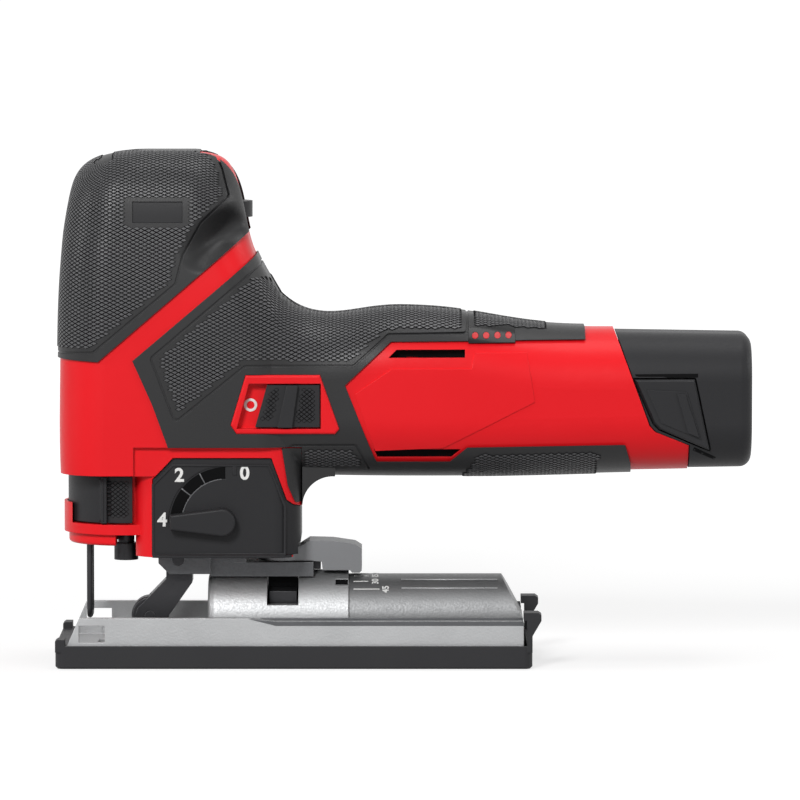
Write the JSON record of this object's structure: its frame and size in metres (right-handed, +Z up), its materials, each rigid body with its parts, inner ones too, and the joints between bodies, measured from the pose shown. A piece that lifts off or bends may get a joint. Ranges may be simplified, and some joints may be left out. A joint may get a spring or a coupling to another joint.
{
  "type": "cordless jigsaw",
  "caption": "Compact barrel-grip cordless jigsaw with tilting shoe, clip-on cover, orbit selector, tool-free blade clamp, slide switch and slide-in battery.",
  "frame": {"origin": "bottom centre of the bounding box, on the sole of the shoe cover", "axes": "+X towards the battery, -X towards the blade, -Y the user's left (the pictured side), +Z up"},
  "size_m": [0.252, 0.066, 0.1863],
  "materials": {
    "red_shell": "satin moulded",
    "grip_rubber": "matt textured",
    "case_plastic": "satin moulded",
    "dark_plastic": "satin moulded",
    "lever_plastic": "satin moulded",
    "battery_plastic": "satin moulded",
    "cover_plastic": "satin moulded",
    "plate": "satin",
    "gauge_plastic": "gloss",
    "gauge_red": "clear red",
    "cast_aluminium": "shot blasted",
    "bracket_metal": "grey coated",
    "lever_grey": "grey satin",
    "dark_steel": "blackened",
    "steel": "machined",
    "copper_steel": "wound",
    "bronze": "sintered",
    "board": "laminate"
  },
  "bodies": {
    "shoe_body": {"shoe": "cast_aluminium", "shoe_cover": "cover_plastic"},
    "tool_body": {"left_shell": "red_shell", "right_shell": "red_shell", "left_head_grip": "grip_rubber", "right_head_grip": "grip_rubber", "left_barrel_grip": "grip_rubber", "right_barrel_grip": "grip_rubber", "shell_screws": "dark_steel", "badge_plates": "plate", "gauge_strip": "gauge_plastic", "gauge_lights": "gauge_red", "gauge_filler": "grip_rubber", "left_bezel": "red_shell", "right_bezel": "red_shell", "switch_block": "dark_plastic", "terminal_block": "dark_plastic", "control_board": "board", "speed_control": "dark_plastic", "motor_stator": "copper_steel", "motor_bearings": "steel", "gear_axle": "steel", "plunger_bushes": "bronze", "wire_guard": "dark_steel", "gear_case": "case_plastic", "bracket": "bracket_metal", "bracket_screws": "dark_steel", "pivot_pin": "dark_steel", "clamp_bolt": "steel", "clamp_block": "dark_steel"},
    "rotor_body": {"motor_rotor": "steel", "motor_fan": "dark_plastic", "drive_pinion": "steel"},
    "gear_body": {"drive_gear": "steel", "crank_pin": "steel"},
    "plunger_body": {"plunger": "dark_steel"},
    "collar_body": {"clamp_collar": "dark_steel"},
    "release_body": {"release_lever": "lever_plastic"},
    "selector_body": {"orbit_selector": "dark_plastic"},
    "arm_body": {"roller_arm": "dark_steel", "roller_pin": "dark_steel"},
    "roller_body": {"roller": "dark_steel"},
    "bevel_lever_body": {"bevel_lever": "lever_grey"},
    "switch_body": {"left_slider": "lever_plastic", "right_slider": "lever_plastic", "switch_link": "dark_plastic"},
    "dial_body": {"speed_dial": "dark_plastic"},
    "battery_body": {"battery_shell": "battery_plastic", "battery_cells": "steel", "battery_contacts": "bronze"},
    "left_latch_body": {"left_latch": "battery_plastic"},
    "right_latch_body": {"right_latch": "battery_plastic"}
  },
  "joints": [
    {"name": "bevel_tilt", "type": "hinge", "parent": "shoe_body", "child": "tool_body", "pos_m": [0, 0, 0.0156], "axis": [1, 0, 0], "range_deg": [-45, 45]},
    {"name": "motor_spin", "type": "hinge", "parent": "tool_body", "child": "rotor_body", "pos_m": [0, 0, 0.0986], "axis": [1, 0, 0], "continuous": true},
    {"name": "gear_spin", "type": "hinge", "parent": "tool_body", "child": "gear_body", "pos_m": [0, 0, 0.0756], "axis": [1, 0, 0], "continuous": true},
    {"name": "plunger_stroke", "type": "slide", "parent": "tool_body", "child": "plunger_body", "axis": [0, 0, 1], "range_m": [-0.013, 0.006]},
    {"name": "collar_turn", "type": "hinge", "parent": "plunger_body", "child": "collar_body", "pos_m": [-0.1015, 0, 0.04], "axis": [0, 0, 1], "range_deg": [-31, 0]},
    {"name": "release_turn", "type": "hinge", "parent": "tool_body", "child": "release_body", "pos_m": [-0.1015, 0, 0.06], "axis": [0, 0, 1], "range_deg": [-30, 0], "stiffness_Nm_per_rad": 0.15, "springref_deg": 5.73},
    {"name": "orbit_select", "type": "hinge", "parent": "tool_body", "child": "selector_body", "pos_m": [-0.0658, -0.02, 0.0528], "axis": [0, 1, 0], "range_deg": [0, 90]},
    {"name": "roller_arm_swing", "type": "hinge", "parent": "tool_body", "child": "arm_body", "pos_m": [-0.0821, 0, 0.0378], "axis": [0, 1, 0], "range_deg": [0, 4]},
    {"name": "roller_spin", "type": "hinge", "parent": "arm_body", "child": "roller_body", "pos_m": [-0.0927, 0, 0.0165], "axis": [0, 1, 0], "continuous": true},
    {"name": "bevel_lever_swing", "type": "hinge", "parent": "tool_body", "child": "bevel_lever_body", "pos_m": [-0.0441, 0, 0.04], "axis": [0, 0, 1], "range_deg": [-18, 0]},
    {"name": "switch_slide", "type": "slide", "parent": "tool_body", "child": "switch_body", "axis": [-1, 0, 0], "range_m": [0, 0.006]},
    {"name": "speed_dial_turn", "type": "hinge", "parent": "tool_body", "child": "dial_body", "pos_m": [-0.0651, 0, 0.165], "axis": [0, 0, 1], "range_deg": [0, 270]},
    {"name": "battery_slide", "type": "slide", "parent": "tool_body", "child": "battery_body", "axis": [1, 0, 0], "range_m": [0, 0.075]},
    {"name": "left_latch_press", "type": "hinge", "parent": "battery_body", "child": "left_latch_body", "pos_m": [0.1075, -0.0225, 0.092], "axis": [0, 0, 1], "range_deg": [-4, 0], "stiffness_Nm_per_rad": 1.2, "springref_deg": 2.86},
    {"name": "right_latch_press", "type": "hinge", "parent": "battery_body", "child": "right_latch_body", "pos_m": [0.1075, 0.0225, 0.092], "axis": [0, 0, 1], "range_deg": [0, 4], "stiffness_Nm_per_rad": 1.2, "springref_deg": -2.86}
  ],
  "couplings": [
    {"joint": "motor_spin", "follows": "gear_spin", "ratio": -3.6},
    {"joint": "collar_turn", "follows": "release_turn", "ratio": 1}
  ]
}
